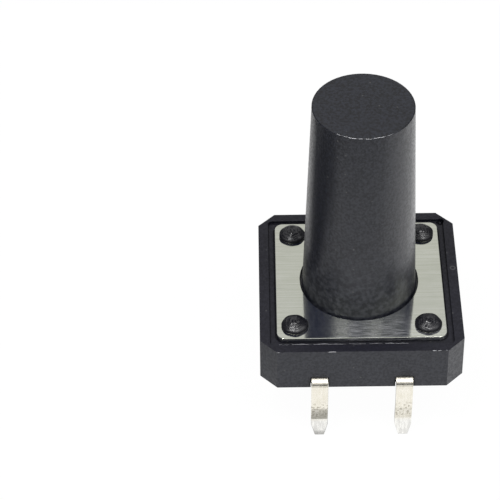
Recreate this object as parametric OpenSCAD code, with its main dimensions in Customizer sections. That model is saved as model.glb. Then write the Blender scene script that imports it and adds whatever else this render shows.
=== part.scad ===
// Tactile push button switch: a 12 mm square through-hole switch with a long round plunger.
// Z = 0 is the seating plane, the faces of the four corner pads that meet the circuit board.
// X runs along the two leg rows, Y runs across them, and the plunger points up along +Z.
// Lengths are in millimetres.

/* [Housing] */
// Side of the square base
body_side = 12; // [11.4:0.1:15]
// Height of the base from its underside to the top of the rim
body_h = 2.95; // [2.6:0.05:5]
// Leg of the chamfer on each vertical corner
corner_chamfer = 1.0; // [0.7:0.05:1.5]
// Width of the raised rim around the top
rim_w = 0.6; // [0.3:0.05:0.8]
// Drop from the rim to the ledge inside it
rim_step = 0.15; // [0.05:0.01:0.2]
// Width of the ledge between the rim and the cover plate
ledge_w = 0.32; // [0.25:0.01:0.6]
// Radius of the ledge's corners
ledge_corner_r = 0.25; // [0.2:0.05:0.5]
// Depth that the cover plate is let into the ledge
plate_sink = 0.03; // [0.02:0.01:0.2]
// Plastic over the lead frames, up to the floor of the well
strip_cover = 0.1; // [0.05:0.01:0.2]
// Diameter of the gate mark in the rear right corner, on the ledge and the rim's inner edge
gate_d = 0.46; // [0.3:0.02:0.6]
// Distance from the gate mark's axis to the walls
gate_inset = 0.76; // [0.7:0.02:1.1]
// Depth of the gate mark
gate_depth = 0.08; // [0.02:0.01:0.1]

/* [Underside] */
// Height of the corner pads that stand the base off the board
pad_h = 0.15; // [0.05:0.05:0.5]
// Size of a corner pad along X
pad_len_x = 1.85; // [1:0.05:2.5]
// Size of a corner pad along Y
pad_len_y = 2.4; // [1:0.05:3]
// Distance from the pads to the side walls
pad_inset = 0.55; // [0.3:0.05:0.9]
// Width of the channel and its two pockets
channel_w = 1.8; // [1:0.1:2.6]
// Length of the channel between the pockets
channel_len = 6.2; // [4:0.1:7]
// Depth of the channel
channel_depth = 0.08; // [0.03:0.01:0.15]
// Length of each pocket
pocket_len = 1.4; // [0.8:0.1:1.8]
// Plastic left between a pocket and the lead frames
pocket_web = 0.1; // [0.05:0.01:0.2]

/* [Heat stakes] */
// Diameter of the four stakes that hold the cover plate
stake_d = 1.0; // [0.7:0.05:1.2]
// Distance from a stake's axis to the edges of the cover plate
stake_inset = 1.07; // [0.95:0.01:1.3]
// How far the melted head reaches past its stake
head_lip = 0.28; // [0.15:0.01:0.35]
// Height of the head above the cover plate
head_h = 0.36; // [0.2:0.02:0.6]
// Height of the head's upright edge, under its dome
head_edge_h = 0.08; // [0.05:0.01:0.2]
// Depth of the dent that the staking tool leaves in the dome
head_dent = 0.06; // [0.02:0.01:0.1]
// Diameter of the dent's flat floor
dent_d = 0.3; // [0.1:0.05:0.5]

/* [Cover plate] */
// Thickness of the sheet steel
plate_t = 0.3; // [0.2:0.05:0.5]
// Radius of the corners
plate_corner_r = 0.5; // [0.2:0.05:0.8]

/* [Plunger] */
// Height of the plunger's top above the seating plane
plunger_top_z = 16.65; // [5:0.05:25]
// Diameter of the stem where it leaves the cover plate
stem_base_d = 6.8; // [6:0.1:7.4]
// Diameter of the stem at its top
stem_top_d = 5.86; // [4:0.02:6]
// Radius of the edge around the top
stem_edge_r = 0.06; // [0.05:0.01:0.4]
// Thickness of the flange that the cover plate holds down
flange_t = 0.5; // [0.3:0.05:0.7]
// How far the flange reaches under the cover plate
flange_lip = 0.46; // [0.3:0.02:0.6]
// Diameter of the nub that presses the contact dome
nub_d = 1.8; // [1:0.1:2.4]
// Radius of the nub's edge
nub_edge_r = 0.2; // [0.05:0.05:0.3]
// Travel of the plunger, from rest until the dome closes the contact
travel = 0.3; // [0.2:0.05:0.4]

/* [Contact dome] */
// Thickness of the snap dome
dome_t = 0.1; // [0.06:0.01:0.15]

/* [Terminals] */
// Distance between the two legs of a row
pin_pitch = 5; // [4.4:0.1:5.6]
// Width of the strip and of its legs
strip_w = 1.0; // [0.8:0.05:1.1]
// Thickness of the strip
strip_t = 0.3; // [0.2:0.05:0.35]
// Height of the strip's upper face above the underside of the base
strip_rise = 0.75; // [0.65:0.05:1.1]
// Inner radius of the bend outside the wall
bend_r = 0.1; // [0.03:0.01:0.2]
// Distance from the wall to the middle of the leg
leg_out = 0.25; // [0.2:0.01:0.4]
// Length of the legs below the seating plane
leg_len = 3.5; // [3.2:0.05:5]
// Depth of the upper kink below the seating plane
kink_depth = 1.25; // [0.8:0.05:1.4]
// Length of the inward leaning stretch between the two kinks
kink_len = 1.2; // [0.8:0.05:1.3]
// Inward lean of that stretch, in degrees
lean_in = 11; // [5:1:16]
// Outward lean of the stretch down to the tip, in degrees
lean_out = 15; // [5:1:18]
// Radius of the kinks, at the middle of the strip
kink_r = 0.35; // [0.2:0.05:0.5]
// Width of the tip
tip_w = 0.55; // [0.3:0.05:0.7]
// Height of the taper that ends in the tip
taper_h = 0.7; // [0.5:0.05:1.2]
// Diameter of the fixed contact in the middle of the well
centre_contact_d = 1.2; // [0.8:0.1:1.6]
// Diameter of the two fixed contacts under the dome's rim
rim_contact_d = 0.8; // [0.6:0.05:0.9]
// Distance from the axes of those two to the rim of the dome
rim_contact_inset = 0.1; // [0:0.05:0.2]
// Width of the arm that carries the middle contact
arm_w = 1.4; // [1:0.1:2]

/* [Clearances] */
// Gap between the cover plate and the wall of its recess
plate_gap = 0.08; // [0.02:0.01:0.1]
// Gap around a stake in its hole
stake_gap = 0.05; // [0.02:0.01:0.1]
// Gap around the stem in the cover plate
stem_gap = 0.14; // [0.1:0.01:0.2]
// Gap between the flange and the wall of the well
flange_gap = 0.3; // [0.2:0.02:0.4]
// Gap between the dome and the wall of the well
dome_gap = 0.6; // [0.3:0.05:0.8]
// Gap between a leg and the sides of its notch
notch_gap = 0.03; // [0.02:0.01:0.12]
// Gap between a leg and the top of its notch
notch_top_gap = 0.06; // [0.02:0.01:0.15]
// Depth of a leg's notch behind the wall
notch_depth = 0.35; // [0.2:0.05:0.5]

/* [Hidden] */
$fn = 96;
eps = 0.01;
arc_steps = 6;
head_sweep = 60;

underside_z = pad_h;
rim_z = underside_z + body_h;
ledge_z = rim_z - rim_step;
seat_z = ledge_z - plate_sink;
plate_top_z = seat_z + plate_t;
strip_top_z = underside_z + strip_rise;
floor_z = strip_top_z + strip_cover;

ledge_side = body_side - 2 * rim_w;
recess_side = ledge_side - 2 * ledge_w;
plate_side = recess_side - 2 * plate_gap;
stake_x = plate_side / 2 - stake_inset;

bore_d = stem_base_d + 2 * stem_gap;
flange_d = bore_d + 2 * flange_lip;
well_d = flange_d + 2 * flange_gap;
dome_d = well_d - 2 * dome_gap;
dome_top_z = floor_z + travel + dome_t;

leg_x = pin_pitch / 2;
leg_y = body_side / 2 + leg_out;
rim_contact_y = sqrt(pow(dome_d / 2 - rim_contact_inset, 2) - pow(leg_x, 2));

plastic = [0.2, 0.2, 0.21];
steel = [0.73, 0.73, 0.68];
tin = [0.83, 0.81, 0.75];
bronze = [0.72, 0.66, 0.5];

// Square of a given side with its corners cut off at 45 degrees
module cut_square(side, cut) {
    h = side / 2;
    polygon([
        [h - cut, -h], [h, cut - h], [h, h - cut], [h - cut, h],
        [cut - h, h], [-h, h - cut], [-h, cut - h], [cut - h, -h]
    ]);
}

// Square of a given side with true arcs at its corners
module round_square(side, r) {
    square([side - 2 * r, side], center = true);
    square([side, side - 2 * r], center = true);
    for (x = [-1, 1], y = [-1, 1])
        translate([x, y] * (side / 2 - r))
            circle(r);
}

// The four stake axes, at height z
module at_stakes(z) {
    for (x = [-1, 1], y = [-1, 1])
        translate([x * stake_x, y * stake_x, z])
            children();
}

// The four places where a leg leaves the walls
module at_legs() {
    for (x = [-1, 1], y = [-1, 1])
        translate([x * leg_x, y * body_side / 2, 0])
            children();
}

// Half section of a stake's melted head: an upright edge, a dome and a shallow dent
module head_section() {
    r = stake_d / 2 + head_lip;
    crown = head_h - head_edge_h;
    polygon(concat(
        [[0, 0], [r, 0]],
        [for (i = [0 : arc_steps])
            let (a = head_sweep * i / arc_steps)
            [r * cos(a), head_edge_h + crown * sin(a) / sin(head_sweep)]],
        [[dent_d / 2, head_h - head_dent], [0, head_h - head_dent]]
    ));
}

// Pad under one corner, its outer corner cut parallel to the chamfer of the base
module corner_pad() {
    outer = body_side / 2 - pad_inset;
    intersection() {
        translate([outer - pad_len_x, outer - pad_len_y])
            square([pad_len_x, pad_len_y]);
        cut_square(2 * outer, corner_chamfer);
    }
}

// Everything that is recessed into the underside
module underside_cuts() {
    translate([-channel_w / 2, -channel_len / 2, underside_z - eps])
        cube([channel_w, channel_len, channel_depth + eps]);
    for (y = [-1, 1])
        translate([-channel_w / 2, y * (channel_len + pocket_len) / 2 - pocket_len / 2, underside_z - eps])
            cube([channel_w, pocket_len, strip_rise - strip_t - pocket_web + eps]);
}

// Ring shaped dimple that the mould's gate leaves, with a stub in its middle
module gate_mark() {
    place = body_side / 2 - gate_inset;
    translate([place, place, ledge_z - gate_depth])
        difference() {
            cylinder(d = gate_d, h = gate_depth + rim_step + eps, $fn = 32);
            cylinder(d = gate_d / 3, h = gate_depth, $fn = 32);
        }
}

// Moulded base, with the lead frames' room cut out of it and the stakes melted over the plate
module housing() {
    color(plastic) {
        difference() {
            translate([0, 0, underside_z])
                linear_extrude(body_h)
                    cut_square(body_side, corner_chamfer);
            translate([0, 0, ledge_z])
                linear_extrude(rim_step + eps)
                    round_square(ledge_side, ledge_corner_r);
            translate([0, 0, seat_z])
                linear_extrude(plate_sink + eps)
                    round_square(recess_side, plate_corner_r + plate_gap);
            translate([0, 0, floor_z])
                cylinder(d = well_d, h = rim_z - floor_z);
            at_legs()
                translate([-strip_w / 2 - notch_gap, -notch_depth, underside_z - eps])
                    cube([strip_w + 2 * notch_gap, 2 * notch_depth, strip_rise + notch_top_gap + eps]);
            frame_blank(-1);
            frame_blank(1);
            centre_arm();
            rim_contacts();
            underside_cuts();
            gate_mark();
        }
        for (x = [0, 1], y = [0, 1])
            mirror([x, 0, 0])
                mirror([0, y, 0])
                    linear_extrude(underside_z)
                        corner_pad();
        at_stakes(seat_z)
            cylinder(d = stake_d, h = plate_t, $fn = 48);
        at_stakes(plate_top_z)
            rotate_extrude($fn = 48)
                head_section();
    }
}

// Stamped steel cover, pierced for the plunger and for the four stakes
module cover_plate() {
    color(steel)
        translate([0, 0, seat_z])
            linear_extrude(plate_t)
                difference() {
                    round_square(plate_side, plate_corner_r);
                    circle(d = bore_d);
                    for (x = [-1, 1], y = [-1, 1])
                        translate([x * stake_x, y * stake_x])
                            circle(d = stake_d + 2 * stake_gap, $fn = 48);
                }
}

// Points on an arc around a centre, from angle a0 to angle a1
function arc(centre, r, a0, a1) =
    [for (i = [0 : arc_steps])
        let (a = a0 + (a1 - a0) * i / arc_steps)
        centre + r * [cos(a), sin(a)]];

// Half section of the plunger: nub, flange, drafted stem and rounded top
module plunger_section() {
    nub = nub_d / 2;
    flange_z = seat_z - flange_t;
    draft = (stem_base_d - stem_top_d) / 2 / (plunger_top_z - plate_top_z);
    root = stem_base_d / 2 + draft * (plate_top_z - seat_z);
    polygon(concat(
        [[0, dome_top_z]],
        arc([nub - nub_edge_r, dome_top_z + nub_edge_r], nub_edge_r, -90, 0),
        [[nub, flange_z], [flange_d / 2, flange_z], [flange_d / 2, seat_z], [root, seat_z]],
        arc([stem_top_d / 2 - stem_edge_r, plunger_top_z - stem_edge_r], stem_edge_r, 0, 90),
        [[0, plunger_top_z]]
    ));
}

// Moulded plunger, one piece from its nub to its flat top
module plunger() {
    color(plastic)
        rotate_extrude()
            plunger_section();
}

// Snap dome: a shallow spherical shell that stands on its rim in the well
module contact_dome() {
    r = dome_d / 2;
    ball = (r * r + travel * travel) / 2 / travel;
    color(bronze)
        translate([0, 0, floor_z])
            intersection() {
                cylinder(r = r, h = travel + 2 * dome_t);
                translate([0, 0, travel - ball])
                    difference() {
                        sphere(ball + dome_t, $fn = 192);
                        sphere(ball, $fn = 192);
                    }
            }
}

// Places and headings along the middle of a strip, as [y, z, heading]. Each move runs straight
// for a length and then turns by an angle on a radius. Heading 0 is outward and -90 is down.
function walk(moves, at, i = 0) =
    i == len(moves) ? [at] :
    let (
        m = moves[i],
        a = at[2],
        y = at[0] + m[0] * cos(a),
        z = at[1] + m[0] * sin(a),
        side = m[1] < 0 ? -1 : 1,
        cy = y - side * m[2] * sin(a),
        cz = z + side * m[2] * cos(a),
        bend = [for (k = [0 : arc_steps])
            let (b = a + m[1] * k / arc_steps)
            [cy + side * m[2] * sin(b), cz - side * m[2] * cos(b), b]]
    )
    concat(i == 0 ? [at] : [], bend, walk(moves, bend[arc_steps], i + 1));

// Points at distance d to the left of a walk
function beside(path, d) = [for (p = path) [p[0] - d * sin(p[2]), p[1] + d * cos(p[2])]];

// Side view of half a lead frame, from the middle of the base to a little below a leg's tip
function half_frame() =
    let (
        mid_z = strip_top_z - strip_t / 2,
        bend = bend_r + strip_t / 2,
        tan_in = kink_r * tan(lean_in / 2),
        tan_out = kink_r * tan((lean_in + lean_out) / 2),
        tip_drop = leg_len - kink_depth - kink_len * cos(lean_in)
    )
    walk([
        [leg_y - bend, -90, bend],
        [mid_z - bend + kink_depth - tan_in, -lean_in, kink_r],
        [kink_len - tan_in - tan_out, lean_in + lean_out, kink_r],
        [tip_drop / cos(lean_out) - tan_out + strip_t, 0, kink_r]
    ], [0, mid_z, 0]);

// Lead frame without its contacts: a strip through the base with a kinked, pointed leg at each end
module frame_blank(side) {
    path = half_frame();
    top_side = beside(path, strip_t / 2);
    low_side = beside(path, -strip_t / 2);
    w = strip_w / 2;
    n = len(path) - 1;
    translate([side * leg_x, 0, 0])
        intersection() {
            for (m = [0, 1])
                mirror([0, m, 0])
                    rotate([90, 0, 90])
                        linear_extrude(strip_w, center = true)
                            polygon(concat(top_side, [for (i = [n : -1 : 0]) low_side[i]]));
            rotate([90, 0, 0])
                linear_extrude(2 * body_side, center = true)
                    polygon([
                        [-w, strip_top_z], [-w, taper_h - leg_len], [-tip_w / 2, -leg_len],
                        [tip_w / 2, -leg_len], [w, taper_h - leg_len], [w, strip_top_z]
                    ]);
        }
}

// Arm from the left strip to the fixed contact in the middle of the well
module centre_arm() {
    translate([0, 0, strip_top_z - strip_t]) {
        translate([-leg_x, -arm_w / 2, 0])
            cube([leg_x, arm_w, strip_t]);
        cylinder(d = arm_w, h = strip_t, $fn = 48);
        cylinder(d = centre_contact_d, h = strip_t + strip_cover, $fn = 48);
    }
}

// The two fixed contacts on the right strip, under the rim of the dome
module rim_contacts() {
    for (y = [-1, 1])
        translate([leg_x, y * rim_contact_y, strip_top_z - strip_t])
            cylinder(d = rim_contact_d, h = strip_t + strip_cover, $fn = 48);
}

// Left lead frame, which carries the middle contact
module terminal_left() {
    color(tin) {
        frame_blank(-1);
        centre_arm();
    }
}

// Right lead frame, which carries the rim contacts
module terminal_right() {
    color(tin) {
        frame_blank(1);
        rim_contacts();
    }
}

housing();
cover_plate();
plunger();
contact_dome();
terminal_left();
terminal_right();
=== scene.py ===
"""Tactile push button switch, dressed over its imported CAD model.

X runs along the two leg rows, Y across them, +Z is the way the plunger points, and z = 0 is the
face of the corner pads. Everything is in metres, so sizes are written in millimetres times mm.
"""
from math import cos, pi, radians, sin

import bpy
import numpy as np
from mathutils import Matrix, Vector


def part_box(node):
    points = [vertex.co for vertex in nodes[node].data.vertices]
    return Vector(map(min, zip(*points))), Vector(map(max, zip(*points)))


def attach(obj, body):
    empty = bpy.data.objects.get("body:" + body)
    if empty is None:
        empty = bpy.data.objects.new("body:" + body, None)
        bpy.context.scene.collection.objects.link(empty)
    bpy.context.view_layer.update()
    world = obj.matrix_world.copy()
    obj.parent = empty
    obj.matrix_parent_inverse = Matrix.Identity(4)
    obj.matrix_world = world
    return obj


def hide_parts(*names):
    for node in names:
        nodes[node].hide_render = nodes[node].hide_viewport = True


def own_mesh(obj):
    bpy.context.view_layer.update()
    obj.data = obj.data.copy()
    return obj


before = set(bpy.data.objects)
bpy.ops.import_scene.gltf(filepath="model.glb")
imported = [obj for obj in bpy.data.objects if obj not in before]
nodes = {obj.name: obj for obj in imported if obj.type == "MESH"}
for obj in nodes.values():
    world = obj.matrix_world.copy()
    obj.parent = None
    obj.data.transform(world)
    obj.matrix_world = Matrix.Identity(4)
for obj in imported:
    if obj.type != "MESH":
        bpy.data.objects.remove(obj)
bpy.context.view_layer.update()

# Camera
# A long lens looks down on the front of the switch. The switch stands right of the middle of the
# square picture, so the lens aims at a point to the left of it.
mm = 0.001
aim = Vector((-6.525, 2.756, 3.16)) * mm
azimuth, elevation, roll = radians(0.306), radians(42.835), radians(-0.968)
distance = 139.69 * mm
focal_length_in_mm, sensor_width_in_mm = 164.8, 36
nearest, farthest = 0.01, 10

back = Vector((sin(azimuth) * cos(elevation), -cos(azimuth) * cos(elevation), sin(elevation)))
level = Vector((cos(azimuth), sin(azimuth), 0))
upright = back.cross(level)
right = level * cos(roll) + upright * sin(roll)
up = upright * cos(roll) - level * sin(roll)

camera = bpy.data.objects.new("camera", bpy.data.cameras.new("camera"))
camera.data.lens, camera.data.sensor_width = focal_length_in_mm, sensor_width_in_mm
camera.data.clip_start, camera.data.clip_end = nearest, farthest
camera.matrix_world = Matrix((
    (right.x, up.x, back.x, 0), (right.y, up.y, back.y, 0), (right.z, up.z, back.z, 0), (0, 0, 0, 1)))
camera.location = aim + back * distance
bpy.context.scene.collection.objects.link(camera)
bpy.context.scene.camera = camera

# Moulded base
# The base is one moulding of black thermoplastic. The mould's walls are spark eroded, so it has a
# fine matt grain. Its top faces shine a little less and take a darker copy of its colour, a painted shade.
base_edge_r = 0.025 * mm
plastic_ior = 1.46
grain_size, mottle_size, wave_size, speck_spacing = 0.07 * mm, 0.15 * mm, 1.1 * mm, 0.5 * mm
grain_depth = 0.006 * mm
crevice_reach = 0.3 * mm
ring_middle, ring_r, ring_line, ring_fade = (5.72 * mm, 1.0 * mm, 3.1 * mm), 0.14 * mm, 0.02 * mm, 0.05 * mm
wall_dark, wall_light = (0.001, 0.002, 0.007, 1), (0.010, 0.0115, 0.019, 1)
shaded_top_dark, shaded_top_light = (0.0005, 0.0005, 0.004, 1), (0.006, 0.006, 0.012, 1)
base_dust, ring_tone, black = (0.04, 0.04, 0.042, 1), (0.06, 0.06, 0.062, 1), (0, 0, 0, 1)


def add(tree, kind, **values):
    """A shader or geometry node of that kind. A name sets the node's own setting or else the input
    of that name, _0, _1 and so on set an input by its number, and a socket as value is linked."""
    made = tree.nodes.new(kind)
    for name, value in values.items():
        if name[0] != "_" and hasattr(made, name):
            setattr(made, name, value)
            continue
        socket = made.inputs[int(name[1:])] if name[0] == "_" else made.inputs[name.replace("_", " ")]
        if isinstance(value, bpy.types.NodeSocket):
            tree.links.new(value, socket)
        else:
            socket.default_value = value
    return made


def calc(tree, operation, a, b=0.0):
    """The result of a Math node."""
    return add(tree, "ShaderNodeMath", operation=operation, _0=a, _1=b).outputs[0]


def spread(tree, value, low, high, to_low, to_high, kind="LINEAR"):
    """A value mapped from low..high to to_low..to_high, and held at the ends."""
    return add(tree, "ShaderNodeMapRange", interpolation_type=kind, _0=value, _1=low, _2=high,
               _3=to_low, _4=to_high).outputs[0]


def between(tree, share, first, second):
    """first at share 0 and second at share 1, as a number."""
    return add(tree, "ShaderNodeMix", data_type="FLOAT", _0=share, _2=first, _3=second).outputs[0]


def blend(tree, share, first, second):
    """first at share 0 and second at share 1, as a colour."""
    return add(tree, "ShaderNodeMix", data_type="RGBA", _0=share, _6=first, _7=second).outputs[2]


def noise(tree, place, size, detail, stretch=(1, 1, 1), seed=0.0):
    """Noise of about that feature size in metres, stretched along an axis by its factor."""
    scaled = add(tree, "ShaderNodeMapping", Vector=place, Location=(seed, seed, seed),
                 Scale=tuple(1 / size / s for s in stretch)).outputs[0]
    return add(tree, "ShaderNodeTexNoise", Vector=scaled, Scale=1.0, Detail=detail).outputs[0]


def coordinate(tree, vector, axis):
    """The X, Y or Z of a vector."""
    return add(tree, "ShaderNodeSeparateXYZ", _0=vector).outputs[axis]


def facing_up(tree):
    """How far the surface faces up, from -1 to 1."""
    return coordinate(tree, add(tree, "ShaderNodeNewGeometry").outputs["Normal"], "Z")


def away_from(tree, place, point):
    """The distance of a place from a point."""
    return add(tree, "ShaderNodeVectorMath", operation="DISTANCE", _0=place, _1=point).outputs["Value"]


def effect(name, outputs, **inputs):
    """A shader node group with a Place input, the named number inputs and the named outputs."""
    tree = bpy.data.node_groups.new(name, "ShaderNodeTree")
    tree.interface.new_socket("Place", in_out="INPUT", socket_type="NodeSocketVector")
    for key, value in inputs.items():
        tree.interface.new_socket(key, in_out="INPUT", socket_type="NodeSocketFloat").default_value = value
    for key in outputs:
        tree.interface.new_socket(key, in_out="OUTPUT", socket_type="NodeSocketFloat")
    return tree, add(tree, "NodeGroupInput").outputs, add(tree, "NodeGroupOutput").inputs


def finish_of(name, **constants):
    """A material with one Principled shader, its plain constants set on the shader's own sockets."""
    material = bpy.data.materials.new(name)
    material.use_nodes = True
    tree = material.node_tree
    shader = tree.nodes["Principled BSDF"]
    for key, value in constants.items():
        shader.inputs[key.replace("_", " ")].default_value = value
    return material, tree, shader, add(tree, "ShaderNodeTexCoord").outputs["Object"]


def bump(tree, shader, height, depth):
    """Raises the shader's surface by height, 0 to 1, times depth in metres."""
    made = add(tree, "ShaderNodeBump", Height=height, Distance=depth, Strength=1.0)
    tree.links.new(made.outputs[0], shader.inputs["Normal"])


even_shading = bpy.data.node_groups.new("even_shading", "GeometryNodeTree")
even_shading.interface.new_socket("Geometry", in_out="INPUT", socket_type="NodeSocketGeometry")
even_shading.interface.new_socket("Geometry", in_out="OUTPUT", socket_type="NodeSocketGeometry")


def on(domain, value):
    """A vector of the faces or points, as a vector that other domains can take."""
    return add(even_shading, "GeometryNodeFieldOnDomain", data_type="FLOAT_VECTOR", domain=domain,
               _0=value).outputs[0]


# A corner takes its vertex's normal, in which a large face counts for more than a small one. Where
# that leans more than 40 degrees from the corner's own face, the edge is sharp and stays so.
least_cosine = cos(radians(40))
own = on("FACE", add(even_shading, "GeometryNodeInputNormal").outputs[0])
area = add(even_shading, "GeometryNodeInputMeshFaceArea").outputs[0]
pull = on("FACE", add(even_shading, "ShaderNodeVectorMath", operation="SCALE", _0=own, _3=area).outputs[0])
shared = add(even_shading, "ShaderNodeVectorMath", operation="NORMALIZE", _0=on("POINT", pull)).outputs[0]
lean = add(even_shading, "ShaderNodeVectorMath", operation="DOT_PRODUCT", _0=shared, _1=own).outputs["Value"]
near = add(even_shading, "FunctionNodeCompare", operation="GREATER_THAN", _0=lean, _1=least_cosine).outputs[0]
normal = add(even_shading, "GeometryNodeSwitch", input_type="VECTOR", _0=near, _1=own, _2=shared).outputs[0]
shaded = add(even_shading, "GeometryNodeSetMeshNormal", mode="FREE", domain="CORNER",
             _0=add(even_shading, "NodeGroupInput").outputs[0], _1=normal).outputs[0]
add(even_shading, "NodeGroupOutput", _0=shaded)


def rounded_edges(node, radius, steps=3):
    """Gives a CAD node its small edge radii: doubles are merged, flat triangles become one face,
    and edges sharper than 28 degrees are rounded."""
    weld = node.modifiers.new("merged", "WELD")
    weld.merge_threshold = 1e-6
    flat = node.modifiers.new("flat_faces", "DECIMATE")
    flat.decimate_type, flat.angle_limit = "DISSOLVE", radians(0.5)
    edge = node.modifiers.new("edge_radius", "BEVEL")
    edge.width, edge.segments, edge.limit_method = radius, steps, "ANGLE"
    edge.angle_limit = radians(28)
    node.modifiers.new("shading", "NODES").node_group = even_shading


# The skin of the mouldings has a fine grain, a mottle about twice as coarse and a slow waviness. It
# also has rare pale specks: each cell of that spacing holds one, and one in four shows.
skin, given, gives = effect("moulded_skin", ("Height", "Mottle", "Wave", "Dust"), Grain=1.0)
place = given["Place"]
fine = noise(skin, place, grain_size, 3.0)
coarse = noise(skin, place, mottle_size, 3.0, seed=3.7)
skin.links.new(calc(skin, "MULTIPLY", calc(skin, "ADD", fine, coarse), given["Grain"]), gives["Height"])
skin.links.new(spread(skin, coarse, 0.38, 0.62, 0.0, 1.0), gives["Mottle"])
skin.links.new(noise(skin, place, wave_size, 2.0, seed=9.1), gives["Wave"])
cells = add(skin, "ShaderNodeTexVoronoi", Vector=place, Scale=1 / speck_spacing)
speck = spread(skin, cells.outputs["Distance"], 0.04, 0.15, 1.0, 0.0)
picked = add(skin, "ShaderNodeSeparateColor", _0=cells.outputs["Color"]).outputs[0]
skin.links.new(calc(skin, "MULTIPLY", speck, calc(skin, "GREATER_THAN", picked, 0.75)), gives["Dust"])

base_plastic, tree, shader, place = finish_of("matt_black_moulding", IOR=plastic_ior)
cover = add(tree, "ShaderNodeGroup", node_tree=skin, Place=place, Grain=1.0).outputs
# Faces turned up take the darker top colours and the walls the lighter ones: painted shade on the top.
shaded_top_share = spread(tree, facing_up(tree), 0.35, 0.8, 0.0, 1.0)
patch = between(tree, 0.3, cover["Mottle"], cover["Wave"])
walls = blend(tree, patch, wall_dark, wall_light)
top = blend(tree, patch, shaded_top_dark, shaded_top_light)
colour = blend(tree, shaded_top_share, walls, top)
colour = blend(tree, cover["Dust"], colour, base_dust)
# A knock has left a small pale ring on the right of the rim.
off_ring = calc(tree, "ABSOLUTE", calc(tree, "SUBTRACT", away_from(tree, place, ring_middle), ring_r))
colour = blend(tree, spread(tree, off_ring, ring_line, ring_fade, 0.8, 0.0), colour, ring_tone)
# Corners and gaps catch less light than the faces round them: both colour and shine fall there.
crevice = add(tree, "ShaderNodeAmbientOcclusion", Distance=crevice_reach, samples=8).outputs["AO"]
crevice = spread(tree, crevice, 0.35, 0.85, 0.15, 1.0)
tree.links.new(blend(tree, crevice, black, colour), shader.inputs["Base Color"])
tree.links.new(spread(tree, patch, 0.2, 0.8, 0.53, 0.41), shader.inputs["Roughness"])
shine = spread(tree, shaded_top_share, 0.0, 1.0, 0.5, 0.4)
tree.links.new(calc(tree, "MULTIPLY", shine, crevice), shader.inputs["Specular IOR Level"])
bump(tree, shader, cover["Height"], grain_depth)
nodes["housing"].material_slots[0].material = base_plastic
rounded_edges(nodes["housing"], base_edge_r)

# Melted stake heads
# Four pegs of the base stand through the cover plate. A hot punch melts their ends into heads
# that hold the plate down, and leaves them rough, with a pit in the middle and a few shiny ridges.
head_r, head_edge_h, head_h = 0.795 * mm, 0.09 * mm, 0.395 * mm
pit_depth, skirt_h, lumps = 0.05 * mm, 0.02 * mm, 16
stake_inset = 1.07 * mm
glossy_r, dull_r, shiny_r, dark_r = 0.6 * mm, 0.72 * mm, 0.66 * mm, 0.78 * mm
melt_size = 0.22 * mm
melt_dark, melt_light = (0.003, 0.003, 0.005, 1), (0.009, 0.009, 0.012, 1)
plate_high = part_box("cover_plate")[1]
plate_top = plate_high.z
stake = (plate_high.x - stake_inset, plate_high.y - stake_inset)


def piece(name, points, loops, body, material, slot):
    """A mesh piece from its points and faces, smooth, on a CAD body. Its slot is not used."""
    mesh = bpy.data.meshes.new(name)
    mesh.from_pydata(points.tolist(), [], loops)
    mesh.polygons.foreach_set("use_smooth", np.ones(len(mesh.polygons), bool))
    mesh.materials.append(material)
    made = bpy.data.objects.new(name, mesh)
    bpy.context.scene.collection.objects.link(made)
    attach(made, body)
    return made


def turned(rings):
    """Points and faces of a closed turned form. rings is an array of rings by steps by 3, wound
    counterclockwise seen from the last ring, and a point closes it at each end."""
    rows, steps = rings.shape[:2]
    points = np.vstack([rings.reshape(-1, 3), rings[0].mean(0), rings[-1].mean(0)])
    i, j = np.meshgrid(np.arange(rows - 1), np.arange(steps), indexing="ij")
    k = (j + 1) % steps
    quads = np.stack([i * steps + j, i * steps + k, (i + 1) * steps + k, (i + 1) * steps + j], -1)
    around = np.arange(steps)
    following = (around + 1) % steps
    last_ring, first_end, last_end = (rows - 1) * steps, rows * steps, rows * steps + 1
    bottom = np.stack([following, around, np.full(steps, first_end)], -1)
    top = np.stack([last_ring + around, last_ring + following, np.full(steps, last_end)], -1)
    return points, quads.reshape(-1, 4).tolist() + bottom.tolist() + top.tolist()


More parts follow.
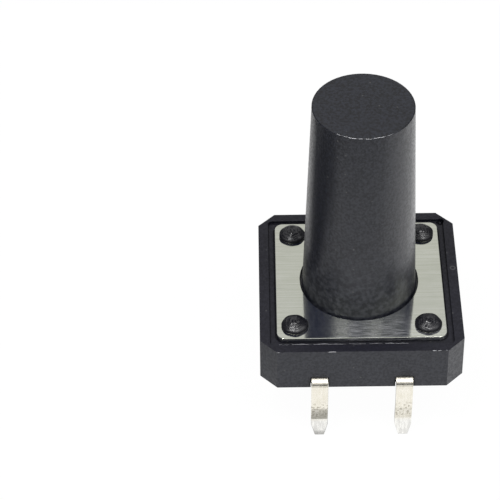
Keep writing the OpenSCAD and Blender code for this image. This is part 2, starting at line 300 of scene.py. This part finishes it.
def melted_head(seed, rows=56, steps=112):
    """Rings of one melted head. A low side carries a dome, part of an ellipse up to 75 degrees, that
    sinks to a pit. The outline is a circle with a few waves. On the dome lie arcs of ridges, whose
    distance from the middle wanders with the angle, and round lumps, all above the plain CAD head."""
    rng = np.random.default_rng(seed)
    sweep = radians(75)
    turn = np.linspace(0, 2 * pi, steps, endpoint=False)
    along, turn = np.meshgrid(np.linspace(0, 1, rows), turn, indexing="ij")
    waves = sum(rng.uniform(0.004, 0.014) * np.cos(k * turn + rng.uniform(0, 2 * pi))
                for k in (2, 3, 4, 5, 7))
    # The side takes the first tenth of the rings, the dome the next six and the pit the last three.
    side, over = np.clip(along / 0.1, 0, 1), np.clip((along - 0.1) / 0.6, 0, 1) * sweep
    inner = np.clip((along - 0.7) / 0.3, 0, 1)
    share = np.where(along < 0.7, (0.97 + 0.03 * side) * np.cos(over), cos(sweep) * (1 - inner))
    share = np.maximum(share, 0.004)
    rise = head_edge_h * side + (head_h - head_edge_h) * np.sin(over) / sin(sweep)
    pit = pit_depth * np.sin(inner * pi / 2) ** 2
    x, y = share * np.cos(turn), share * np.sin(turn)
    wander = 0.05 * np.cos(turn * 2 + rng.uniform(0, 2 * pi))
    wander += 0.04 * np.cos(turn * 5 + rng.uniform(0, 2 * pi))
    ridges = np.zeros_like(x)
    for at, width, height in (
            (0.8, 0.03, 0.014), (0.66, 0.04, 0.025), (0.48, 0.055, 0.065), (0.26, 0.045, 0.045)):
        open_at = rng.uniform(-0.75, -0.25) * pi
        arc = np.clip(0.5 + 0.7 * np.cos(turn - open_at) + 0.3 * np.cos(turn * 3 + open_at), 0, 1)
        ridges += height * mm * arc * np.exp(-((share + wander - at) / width) ** 2)
    for _ in range(lumps):
        reach, bearing, width = rng.uniform(0.05, 0.75), rng.uniform(0, 2 * pi), rng.uniform(0.08, 0.17)
        lump = np.exp(-((x - reach * cos(bearing)) ** 2 + (y - reach * sin(bearing)) ** 2) / width ** 2)
        ridges += rng.uniform(0.004, 0.03) * mm * lump
    up = rise - pit + ridges * np.clip(along * 3 - 0.3, 0, 1) - skirt_h * (1 - side)
    reach = head_r * share * (1 + waves * share)
    return np.stack([reach * np.cos(turn), reach * np.sin(turn), up], -1)


head_plastic, tree, shader, place = finish_of("melted_black_plastic", IOR=plastic_ior)
cover = add(tree, "ShaderNodeGroup", node_tree=skin, Place=place, Grain=0.25).outputs
blotch = noise(tree, place, melt_size, 3.0, seed=5.0)
tree.links.new(blend(tree, blotch, melt_dark, melt_light), shader.inputs["Base Color"])
# The punch leaves the middle of a head glossy and its edge dull. The place's absolute value puts
# all four heads on one, so one distance serves them all.
corner = add(tree, "ShaderNodeVectorMath", operation="ABSOLUTE", _0=place).outputs[0]
corner = add(tree, "ShaderNodeVectorMath", operation="MULTIPLY", _0=corner, _1=(1, 1, 0)).outputs[0]
outward = away_from(tree, corner, (*stake, 0))
dull = spread(tree, outward, glossy_r, dull_r, 0.0, 0.42)
gloss = spread(tree, blotch, 0.35, 0.65, 0.15, 0.38)
tree.links.new(calc(tree, "MAXIMUM", gloss, dull), shader.inputs["Roughness"])
tree.links.new(spread(tree, outward, shiny_r, dark_r, 0.6, 0.15), shader.inputs["Specular IOR Level"])
bump(tree, shader, cover["Height"], grain_depth)
for number, (sx, sy) in enumerate(((-1, -1), (1, -1), (-1, 1), (1, 1))):
    rings = melted_head(11 + number)
    rings = rings + np.array((sx * stake[0], sy * stake[1], plate_top))
    piece(f"melted_head_{number + 1}", *turned(rings), "base", head_plastic, "housing_plastic")

# Cover plate
# The cover is stamped from rolled steel sheet, let into the base. The rolls leave a fine grain
# along X, and the stamping rounds the upper edges.
plate_edge_r = 0.1 * mm
roll_w, streak_w, cloud_size, scratch_w = 0.03 * mm, 0.09 * mm, 1.6 * mm, 0.035 * mm
roll_depth = 0.0008 * mm
scratched_y, clean_y = -4.4 * mm, -2.6 * mm
clean_x, scratched_x = -2.2 * mm, -0.8 * mm
rolled_dark, rolled_light = (0.51, 0.525, 0.435, 1), (0.61, 0.62, 0.54, 1)
scratch_and_highlight_tone, bloom_blue = (0.5, 0.5, 0.52, 1), (0.1, 0.16, 0.7, 1)

steel, tree, shader, place = finish_of("rolled_steel", Metallic=1.0)
grain = noise(tree, place, roll_w, 3.0, stretch=(90, 1, 1))
streak = noise(tree, place, streak_w, 3.0, stretch=(40, 1, 1), seed=2.0)
cloud = noise(tree, place, cloud_size, 2.0, seed=4.0)
shade = spread(tree, between(tree, 0.25, streak, cloud), 0.35, 0.65, 0.0, 1.0)
tree.links.new(blend(tree, shade, rolled_dark, rolled_light), shader.inputs["Base Color"])
tree.links.new(spread(tree, streak, 0.3, 0.7, 0.04, 0.08), shader.inputs["Roughness"])
bump(tree, shader, calc(tree, "ADD", grain, calc(tree, "MULTIPLY", streak, 0.6)), roll_depth)
# Handling leaves short fine scratches that scatter light, most of them along the front edge. Along
# the front, from just left of the middle to the right, their grey is also a painted highlight: the
# plunger's sheen as the plate mirrors it.
scratch = noise(tree, place, scratch_w, 2.0, stretch=(26, 1, 1), seed=8.0)
to_front = spread(tree, coordinate(tree, place, "Y"), scratched_y, clean_y, 1.0, 0.0, "SMOOTHSTEP")
to_right = spread(tree, coordinate(tree, place, "X"), clean_x, scratched_x, 0.0, 1.0, "SMOOTHSTEP")
worn = between(tree, calc(tree, "MULTIPLY", to_front, to_right), 0.08, 1.0)
scuffs_and_highlight = calc(tree, "MULTIPLY", worn, spread(tree, scratch, 0.47, 0.64, 0.0, 0.3))
# The bright steel also has a faint blue bloom, which only shows where it mirrors something dark.
haze = add(tree, "ShaderNodeBsdfDiffuse", Color=scratch_and_highlight_tone).outputs[0]
bloom = add(tree, "ShaderNodeBsdfDiffuse", Color=bloom_blue).outputs[0]
both = add(tree, "ShaderNodeMixShader", _0=0.015, _1=shader.outputs[0], _2=bloom).outputs[0]
both = add(tree, "ShaderNodeMixShader", _0=scuffs_and_highlight, _1=both, _2=haze).outputs[0]
tree.links.new(both, tree.nodes["Material Output"].inputs["Surface"])
nodes["cover_plate"].material_slots[0].material = steel
rounded_edges(nodes["cover_plate"], plate_edge_r, 4)

# Plunger
# The plunger is one black moulding with a drafted round stem. Its mould is polished less than
# glossy, so it shines softly. Towards its foot it turns paler and smeared: partly smears, partly
# painted light, the glow the foot mirrors from the plate and floor.
plunger_edge_r = 0.03 * mm
smear_size, smeared_and_lit_z, clean_and_unlit_z = 0.3 * mm, 4 * mm, 9 * mm
side_dark, side_light = (0.0, 0.0006, 0.004, 1), (0.013, 0.0145, 0.021, 1)
shaded_end_dark, shaded_end_light = (0.0, 0.0, 0.001, 1), (0.0075, 0.0092, 0.0155, 1)
smear_and_glow_dark, smear_and_glow_light = (0.006, 0.007, 0.012, 1), (0.031, 0.033, 0.041, 1)
plunger_dust = (0.045, 0.045, 0.045, 1)

button_plastic, tree, shader, place = finish_of(
    "satin_black_moulding", IOR=plastic_ior, Specular_IOR_Level=0.5)
cover = add(tree, "ShaderNodeGroup", node_tree=skin, Place=place, Grain=0.5).outputs
# The end face takes a darker copy of the side's colour: painted shade on the top.
shaded_top_share = spread(tree, facing_up(tree), 0.5, 0.9, 0.0, 1.0)
patch = between(tree, 0.25, cover["Mottle"], cover["Wave"])
side = blend(tree, patch, side_dark, side_light)
end = blend(tree, patch, shaded_end_dark, shaded_end_light)
# Paler and smeared towards the foot: smears, and painted light that the foot mirrors from the plate.
foot_smear_and_glow = spread(tree, coordinate(tree, place, "Z"), smeared_and_lit_z, clean_and_unlit_z, 1.0, 0.0, "SMOOTHSTEP")
smear = spread(tree, noise(tree, place, smear_size, 4.0, seed=12.0), 0.4, 0.64, 0.0, 1.0)
side = blend(tree, foot_smear_and_glow, side, blend(tree, smear, smear_and_glow_dark, smear_and_glow_light))
colour = blend(tree, shaded_top_share, side, end)
tree.links.new(blend(tree, cover["Dust"], colour, plunger_dust), shader.inputs["Base Color"])
tree.links.new(spread(tree, patch, 0.1, 0.9, 0.43, 0.31), shader.inputs["Roughness"])
bump(tree, shader, cover["Height"], grain_depth)
nodes["plunger"].material_slots[0].material = button_plastic
rounded_edges(nodes["plunger"], plunger_edge_r)

# Contact dome
# Under the plunger a thin disc of silvered bronze, pressed to a shallow dome, stands on its rim.
# It gives way when the plunger comes down, and closes the contact.
dome_low, dome_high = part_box("contact_dome")
dome_r, dome_rise, dome_t = dome_high.x, 0.3 * mm, 0.1 * mm
silver_cloud = 0.5 * mm
silver_dark, silver_light = (0.66, 0.62, 0.52, 1), (0.78, 0.75, 0.66, 1)


def domed_disc(rows=40, steps=96):
    """Rings of the disc. Its underside goes from the middle out to the rim, and falls with the
    square of the distance. Its upper side comes back to the middle one thickness higher."""
    share = np.concatenate([np.linspace(0.004, 1, rows), np.linspace(1, 0.004, rows)])
    side = np.repeat([0.0, 1.0], rows)
    turn = np.linspace(0, 2 * pi, steps, endpoint=False)
    up = dome_low.z + dome_rise * (1 - share ** 2) + dome_t * side
    reach = dome_r * share
    return np.stack([np.outer(reach, np.cos(turn)), np.outer(reach, np.sin(turn)),
                     np.repeat(up[:, None], steps, 1)], -1)


bronze, tree, shader, place = finish_of("silvered_bronze", Metallic=1.0)
cloud = noise(tree, place, silver_cloud, 3.0)
tree.links.new(blend(tree, cloud, silver_dark, silver_light), shader.inputs["Base Color"])
tree.links.new(spread(tree, cloud, 0.3, 0.7, 0.15, 0.3), shader.inputs["Roughness"])
dome = piece("snap_dome", *turned(domed_disc()), "base", bronze, "dome_spring_metal")
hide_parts("contact_dome")
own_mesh(dome)

# Terminals
# The front and rear leg of each side are the ends of one strip of tinned brass, moulded into the
# base. They are bent down and kinked, so that they snap into the board, and their edges are coined.
coined_r = 0.12 * mm
blotch_size, drawn_w, drawn_depth = 0.35 * mm, 0.07 * mm, 0.0015 * mm
jaw_mark_size, solder_run_w = 0.16 * mm, 0.15 * mm
lowest_bend_z = 0.3 * mm
jaws_low, jaws_from, jaws_to, jaws_high = -2.3 * mm, -2.0 * mm, -1.1 * mm, -0.6 * mm
solder_from, solder_to = -2.6 * mm, -2.3 * mm
tin_dark, tin_light = (0.66, 0.63, 0.54, 1), (0.76, 0.73, 0.66, 1)
bend_shade_brass, jaw_tone = (0.36, 0.345, 0.29, 1), (0.25, 0.23, 0.18, 1)
solder_dark, solder_light = (0.62, 0.62, 0.61, 1), (0.8, 0.8, 0.78, 1)

tin, tree, shader, place = finish_of("bright_tin", Metallic=1.0)
blotch = noise(tree, place, blotch_size, 3.0)
drawn = noise(tree, place, drawn_w, 2.0, stretch=(1, 8, 8))
worn = between(tree, 0.5, blotch, drawn)
plated = blend(tree, spread(tree, worn, 0.35, 0.65, 0.0, 1.0), tin_dark, tin_light)
# Bends and kinks take a darker, brassy colour, broken up by the drawn grain: painted shade for the
# dark things they mirror. A bend is where the strip turns down above the board, a kink where its face
# leans downward.
height = coordinate(tree, place, "Z")
facing = facing_up(tree)
shaded_bend = calc(tree, "MULTIPLY", spread(tree, facing, 0.0, 0.06, 0.0, 1.0),
            spread(tree, facing, 0.3, 0.5, 1.0, 0.0))
shaded_bend = calc(tree, "MULTIPLY", shaded_bend, calc(tree, "GREATER_THAN", height, lowest_bend_z))
shaded_lean = spread(tree, facing, -0.2, -0.1, 1.0, 0.0)
painted_bend_shade = calc(tree, "MAXIMUM", calc(tree, "MULTIPLY", shaded_bend, 0.7), calc(tree, "MULTIPLY", shaded_lean, 0.35))
painted_bend_shade = calc(tree, "MULTIPLY", painted_bend_shade, spread(tree, drawn, 0.3, 0.6, 1.2, 0.6))
colour = blend(tree, painted_bend_shade, plated, bend_shade_brass)
# The jaws leave dark marks round the kinks, and the points are dipped in solder.
mark = spread(tree, noise(tree, place, jaw_mark_size, 4.0, seed=6.0), 0.53, 0.6, 0.0, 0.7)
mark = calc(tree, "MULTIPLY", mark, spread(tree, height, jaws_low, jaws_from, 0.0, 1.0))
mark = calc(tree, "MULTIPLY", mark, spread(tree, height, jaws_to, jaws_high, 1.0, 0.0))
colour = blend(tree, mark, colour, jaw_tone)
dipped = spread(tree, height, solder_from, solder_to, 0.8, 0.0)
runs = noise(tree, place, solder_run_w, 2.0, stretch=(1, 1, 6), seed=3.0)
solder = blend(tree, spread(tree, runs, 0.4, 0.6, 0.0, 1.0), solder_dark, solder_light)
tree.links.new(blend(tree, dipped, colour, solder), shader.inputs["Base Color"])
gloss = spread(tree, blotch, 0.35, 0.65, 0.18, 0.3)
dull = spread(tree, facing, 0.5, 0.8, 0.0, 0.5)
tree.links.new(calc(tree, "MAXIMUM", gloss, dull), shader.inputs["Roughness"])
bump(tree, shader, worn, drawn_depth)
for name in ("terminal_left", "terminal_right"):
    nodes[name].material_slots[0].material = tin
    rounded_edges(nodes[name], coined_r, 4)

# Mould flash
# Where the halves of the base's mould met, thin fins of plastic were squeezed out and torn off.
# They stand along the front rim and are part of the moulding. Their pale colour is painted
# highlight, the glints the thin fins catch.
rim_z = plate_top - 0.12 * mm
inner_z, outer_z = rim_z + 0.02 * mm, rim_z - 0.01 * mm
wall_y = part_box("housing")[0].y
inner_y, outer_y = wall_y + 0.61 * mm, wall_y + 0.005 * mm
sliver_step, sliver_end, sliver_drift = 0.03 * mm, 0.001 * mm, 0.012 * mm
outer_edge_y, inner_edge_y, base_end_y, plunger_y = -5.8 * mm, -5.6 * mm, -4.0 * mm, -3.5 * mm
glint_breakup_size = 0.12 * mm
outer_glint_white, inner_glint_white = (0.5, 0.5, 0.52, 1), (0.26, 0.26, 0.28, 1)
plunger_glint_white = (0.7, 0.7, 0.72, 1)
glint_breakup_dark, glint_breakup_light = (0.2, 0.2, 0.22, 1), (1, 1, 1, 1)


def slivers(stretches, seed, steps=8):
    """Points and faces of closed slivers along X. Each stretch gives its first and last x, its y and
    z, and its reach. Rings stand around that line, taller than wide. Their size follows three sine
    waves along x and falls to almost nothing at both ends."""
    rng = np.random.default_rng(seed)
    turn = np.linspace(0, 2 * pi, steps, endpoint=False)
    points, loops = [], []
    for first, last, y, z, reach in stretches:
        share = np.linspace(0, 1, max(int((last - first) / sliver_step), 8))
        x = first + (last - first) * share
        waves = [np.sin(x / mm * k + rng.uniform(0, 2 * pi)) for k in (3, 8, 19)]
        swell = reach * (0.62 + 0.13 * sum(waves))
        size = swell * np.maximum(np.sin(pi * share), 0.0) ** 0.4 + sliver_end
        drift = sliver_drift * (waves[0] + waves[1])
        rings = np.stack([np.repeat(x[:, None], steps, 1),
                          (y + drift)[:, None] + np.outer(size, np.cos(turn)) * 0.6,
                          z + np.outer(size, np.sin(turn))], -1)
        found, faces = turned(rings)
        before = sum(map(len, points))
        loops += [[before + corner for corner in face] for face in faces]
        points.append(found)
    return np.vstack(points), loops


# The painted highlight is paler on the base's outer fins than on its inner ones, and palest on the
# plunger's. Their Y tells the three apart.
flash_glint_plastic, tree, shader, place = finish_of("torn_plastic_painted_glint", IOR=plastic_ior, Roughness=0.3)
across = coordinate(tree, place, "Y")
glint_tone = blend(tree, spread(tree, across, outer_edge_y, inner_edge_y, 0.0, 1.0), outer_glint_white, inner_glint_white)
glint_tone = blend(tree, spread(tree, across, base_end_y, plunger_y, 0.0, 1.0), glint_tone, plunger_glint_white)
glint_breakup = blend(tree, noise(tree, place, glint_breakup_size, 2.0), glint_breakup_dark, glint_breakup_light)
mixed = add(tree, "ShaderNodeMix", data_type="RGBA", blend_type="MULTIPLY", _0=1.0, _6=glint_tone, _7=glint_breakup)
tree.links.new(mixed.outputs[2], shader.inputs["Base Color"])
stretches = [(a * mm, b * mm, inner_y, inner_z, r * mm) for a, b, r in (
    (-4.9, -4.25, 0.025), (-4.15, -2.95, 0.045), (-2.9, -0.95, 0.05), (-0.8, 0.2, 0.03), (0.4, 1.2, 0.025),
    (1.3, 2.7, 0.045))]
stretches += [(a * mm, b * mm, outer_y, outer_z, r * mm) for a, b, r in (
    (-5.04, -4.82, 0.026), (-2.06, -1.55, 0.042), (4.05, 4.33, 0.034), (4.36, 4.58, 0.028),
    (4.82, 4.95, 0.024))]
piece("mould_flash", *slivers(stretches, 21), "base", flash_glint_plastic, "housing_plastic")

# The plunger's top edge carries a little of it too, on the side of the mould's gate. Those slivers
# are made straight and then bent round the edge: x becomes the arc and y the distance inward.
top_edge_r, top_z, sunk = 2.925 * mm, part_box("plunger")[1].z, 0.012 * mm
stretches = [(a * mm, b * mm, sunk, top_z - sunk, r * mm) for a, b, r in (
    (-1.7, -1.45, 0.015), (-1.25, -1.0, 0.02), (-0.98, -0.5, 0.035), (-0.4, -0.15, 0.02),
    (-0.05, 0.35, 0.018), (0.42, 1.15, 0.022), (1.25, 1.6, 0.014))]
points, loops = slivers(stretches, 22)
arc, reach = points[:, 0] / top_edge_r, top_edge_r - points[:, 1]
points = np.stack([reach * np.sin(arc), -reach * np.cos(arc), points[:, 2]], -1)
piece("plunger_flash", points, loops, "button", flash_glint_plastic, "plunger_plastic")

# Studio
# The switch stands on the tips of its legs on white paper, in a dim round room with soft glows
# behind, beside and above it. Three soft lamps light it, and five cards only show in reflections.
leg_tip_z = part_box("terminal_left")[0].z
floor_half, card_lift, lamp_distance = 400 * mm, 0.02 * mm, 220 * mm
pool_r, pool_end = 24 * mm, 48 * mm
white, paper_white = (1, 1, 1, 1), (0.9, 0.9, 0.9, 1)

floor = bpy.data.objects.new("floor", bpy.data.meshes.new("floor"))
floor.data.from_pydata(
    [(x * floor_half, y * floor_half, leg_tip_z) for x, y in ((-1, -1), (1, -1), (1, 1), (-1, 1))],
    [], [(0, 1, 2, 3)])
bpy.context.scene.collection.objects.link(floor)
paper = bpy.data.materials.new("white_paper")
paper.use_nodes = True
tree = paper.node_tree
tree.nodes.remove(tree.nodes["Principled BSDF"])
# To the camera the paper is almost plain white light, and to mirroring surfaces mostly a pool of
# light round the switch. Everything else finds it matt.
light_path = add(tree, "ShaderNodeLightPath").outputs
mirrored = calc(tree, "MAXIMUM", light_path["Is Glossy Ray"], light_path["Is Transmission Ray"])
share = calc(tree, "MAXIMUM", calc(tree, "MULTIPLY", light_path["Is Camera Ray"], 0.98),
             calc(tree, "MULTIPLY", mirrored, 0.85))
spot = away_from(tree, add(tree, "ShaderNodeTexCoord").outputs["Object"], (0, 0, 0))
pool = spread(tree, spot, pool_r, pool_end, 1.25, 0.25, "SMOOTHSTEP")
pool = between(tree, light_path["Is Camera Ray"], pool, 1.0)
matt = add(tree, "ShaderNodeBsdfDiffuse", Color=paper_white).outputs[0]
glow = add(tree, "ShaderNodeEmission", Color=white, Strength=pool).outputs[0]
both = add(tree, "ShaderNodeMixShader", _0=share, _1=matt, _2=glow).outputs[0]
# From below the floor isn't there, so that the underside can be looked at.
clear = add(tree, "ShaderNodeBsdfTransparent").outputs[0]
from_below = add(tree, "ShaderNodeNewGeometry").outputs["Backfacing"]
both = add(tree, "ShaderNodeMixShader", _0=from_below, _1=both, _2=clear).outputs[0]
tree.links.new(both, tree.nodes["Material Output"].inputs["Surface"])
floor.data.materials.append(paper)


def card(name, outline, strength):
    """A flat card just over the floor that only shows in reflections, black or evenly lit."""
    made = bpy.data.objects.new(name, bpy.data.meshes.new(name))
    corners = [(x * mm, y * mm, leg_tip_z + card_lift) for x, y in outline]
    made.data.from_pydata(corners, [], [range(len(outline))])
    bpy.context.scene.collection.objects.link(made)
    face = bpy.data.materials.new(name)
    face.use_nodes = True
    face.node_tree.nodes.remove(face.node_tree.nodes["Principled BSDF"])
    shine = add(face.node_tree, "ShaderNodeEmission", Color=white, Strength=strength).outputs[0]
    face.node_tree.links.new(shine, face.node_tree.nodes["Material Output"].inputs["Surface"])
    made.data.materials.append(face)
    made.visible_camera = made.visible_diffuse = made.visible_shadow = made.visible_transmission = False


card("black_card", ((-34, -22), (-19, -15), (-19.5, -8), (-14.5, -2.5), (-8.5, 2.5), (-8.5, 4.5),
                    (-13.5, 6.5), (-17, 11), (-34, 26)), 0.02)
card("grey_card", ((-13, -9.5), (-8.5, -8.5), (-8.5, 2.5), (-14.5, -2.5)), 0.85)
card("lit_card", ((9, -14), (45, -30), (45, 30), (9, 20)), 1.6)
card("front_card", ((-7, -28), (7, -28), (7, -14), (-7, -14)), 1.3)
card("shade_card", ((-3.9, -7.22), (-1.2, -7.22), (0, -6.5), (3.6, -6.5), (3.6, 7.5), (-3.9, 7.5)), 0.6)

# Each glow of the room is round: even out to its first angle, and gone at its second. Its bearing
# runs from behind the switch to the right, and its height up from the horizon, in degrees.
world = bpy.data.worlds.new("room")
bpy.context.scene.world = world
world.use_nodes = True
tree = world.node_tree
direction = add(tree, "ShaderNodeTexCoord").outputs["Generated"]
total = 0.1
for bearing, height, full, edge, strength in (
        (0, 43, 14, 34, 0.73), (110, 20, 20, 50, 0.3), (-110, 20, 20, 50, 0.14), (100, 45, 8, 26, 1.5),
        (180, 84, 8, 24, 1.5)):
    b, h = radians(bearing), radians(height)
    to = Vector((sin(b) * cos(h), cos(b) * cos(h), sin(h)))
    along = add(tree, "ShaderNodeVectorMath", operation="DOT_PRODUCT", _0=direction, _1=to).outputs["Value"]
    lobe = spread(tree, along, cos(radians(edge)), cos(radians(full)), 0.0, strength, "SMOOTHSTEP")
    total = calc(tree, "ADD", lobe, total)
camera_ray = add(tree, "ShaderNodeLightPath").outputs["Is Camera Ray"]
tree.links.new(between(tree, camera_ray, total, 1.0), tree.nodes["Background"].inputs["Strength"])
tree.nodes["Background"].inputs["Color"].default_value = white


def softbox(name, bearing, height, wide, tall, power):
    """An oblong lamp, turned to the switch. It stands at a bearing from the camera's side, positive
    to the right, and at a height angle."""
    lamp = bpy.data.lights.new(name, "AREA")
    lamp.shape, lamp.size, lamp.size_y, lamp.energy = "RECTANGLE", wide, tall, power
    made = bpy.data.objects.new(name, lamp)
    b, h = radians(bearing), radians(height)
    made.location = Vector((sin(b) * cos(h), -cos(b) * cos(h), sin(h))) * lamp_distance
    made.rotation_mode = "QUATERNION"
    made.rotation_quaternion = made.location.to_track_quat("Z", "Y")
    made.visible_camera = False
    bpy.context.scene.collection.objects.link(made)


softbox("front_softbox", 5, 40, 360 * mm, 150 * mm, 0.13)
softbox("left_softbox", -50, 68, 60 * mm, 60 * mm, 0.3)
softbox("right_softbox", 40, 64, 70 * mm, 70 * mm, 0.2)

bpy.context.scene.view_settings.view_transform = "Standard"
